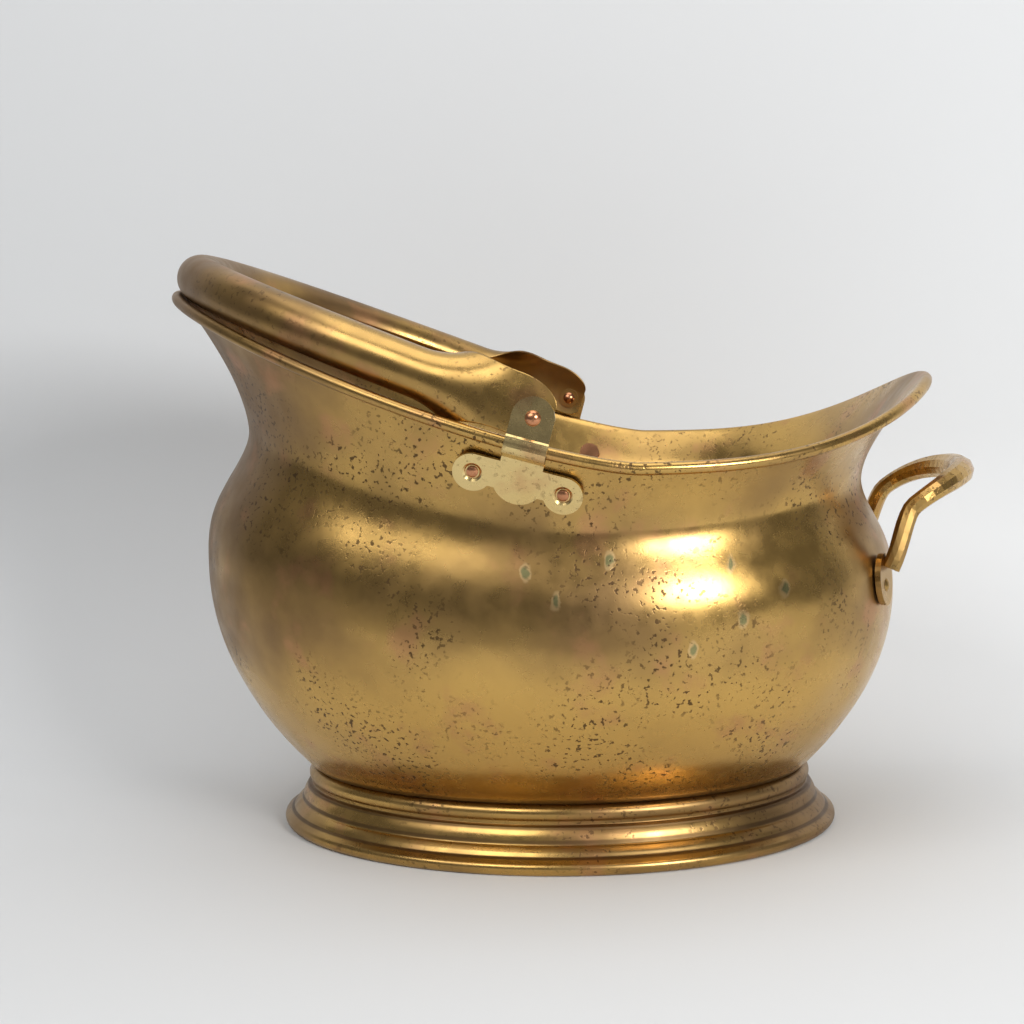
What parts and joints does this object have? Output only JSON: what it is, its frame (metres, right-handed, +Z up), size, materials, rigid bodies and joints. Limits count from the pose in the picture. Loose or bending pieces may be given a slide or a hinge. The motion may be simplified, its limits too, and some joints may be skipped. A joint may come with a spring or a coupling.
{
  "type": "helmet coal scuttle",
  "caption": "Helmet-shaped brass coal scuttle on a moulded oval foot, with a tubular bail that swings over the flared mouth and a small tipping handle behind.",
  "frame": {"origin": "on the floor under the middle of the scuttle's overall length and width", "axes": "+Z up, the pouring lip points to -X, the bail's pivots lie along Y"},
  "size_m": [0.4344, 0.3234, 0.3174],
  "materials": {
    "bowl_brass": "aged and polished, with brown patina above and green specks",
    "foot_brass": "aged and polished, dark in the mouldings",
    "bail_brass": "brown patina, worn gold where it is held",
    "bracket_brass": "polished face with black grime at the edges",
    "handle_brass": "cast and hand worn",
    "rivet_copper": "worn copper",
    "rivet_brass": "worn brass",
    "washer_brass": "dark brass",
    "iron_wire": "plain iron wire, hidden inside its roll"
  },
  "bodies": {
    "scuttle": {"body_shell": "bowl_brass", "rim_wire": "iron_wire", "base_plate": "bowl_brass", "foot_ring": "foot_brass", "foot_wire": "iron_wire", "bracket_left": "bracket_brass", "bracket_right": "bracket_brass", "bracket_rivets_left": "rivet_copper", "bracket_rivets_right": "rivet_copper", "pivot_rivet_left": "rivet_copper", "pivot_rivet_right": "rivet_copper", "pivot_washer_left": "washer_brass", "pivot_washer_right": "washer_brass", "tipping_handle": "handle_brass", "palm_rivet_left": "rivet_brass", "palm_rivet_right": "rivet_brass"},
    "bail": {"bail_handle": "bail_brass"}
  },
  "joints": [
    {"name": "bail_swing", "type": "hinge", "parent": "scuttle", "child": "bail", "pos_m": [-0.0095, 0, 0.2304], "axis": [0, 1, 0], "range_deg": [0, 100]}
  ]
}
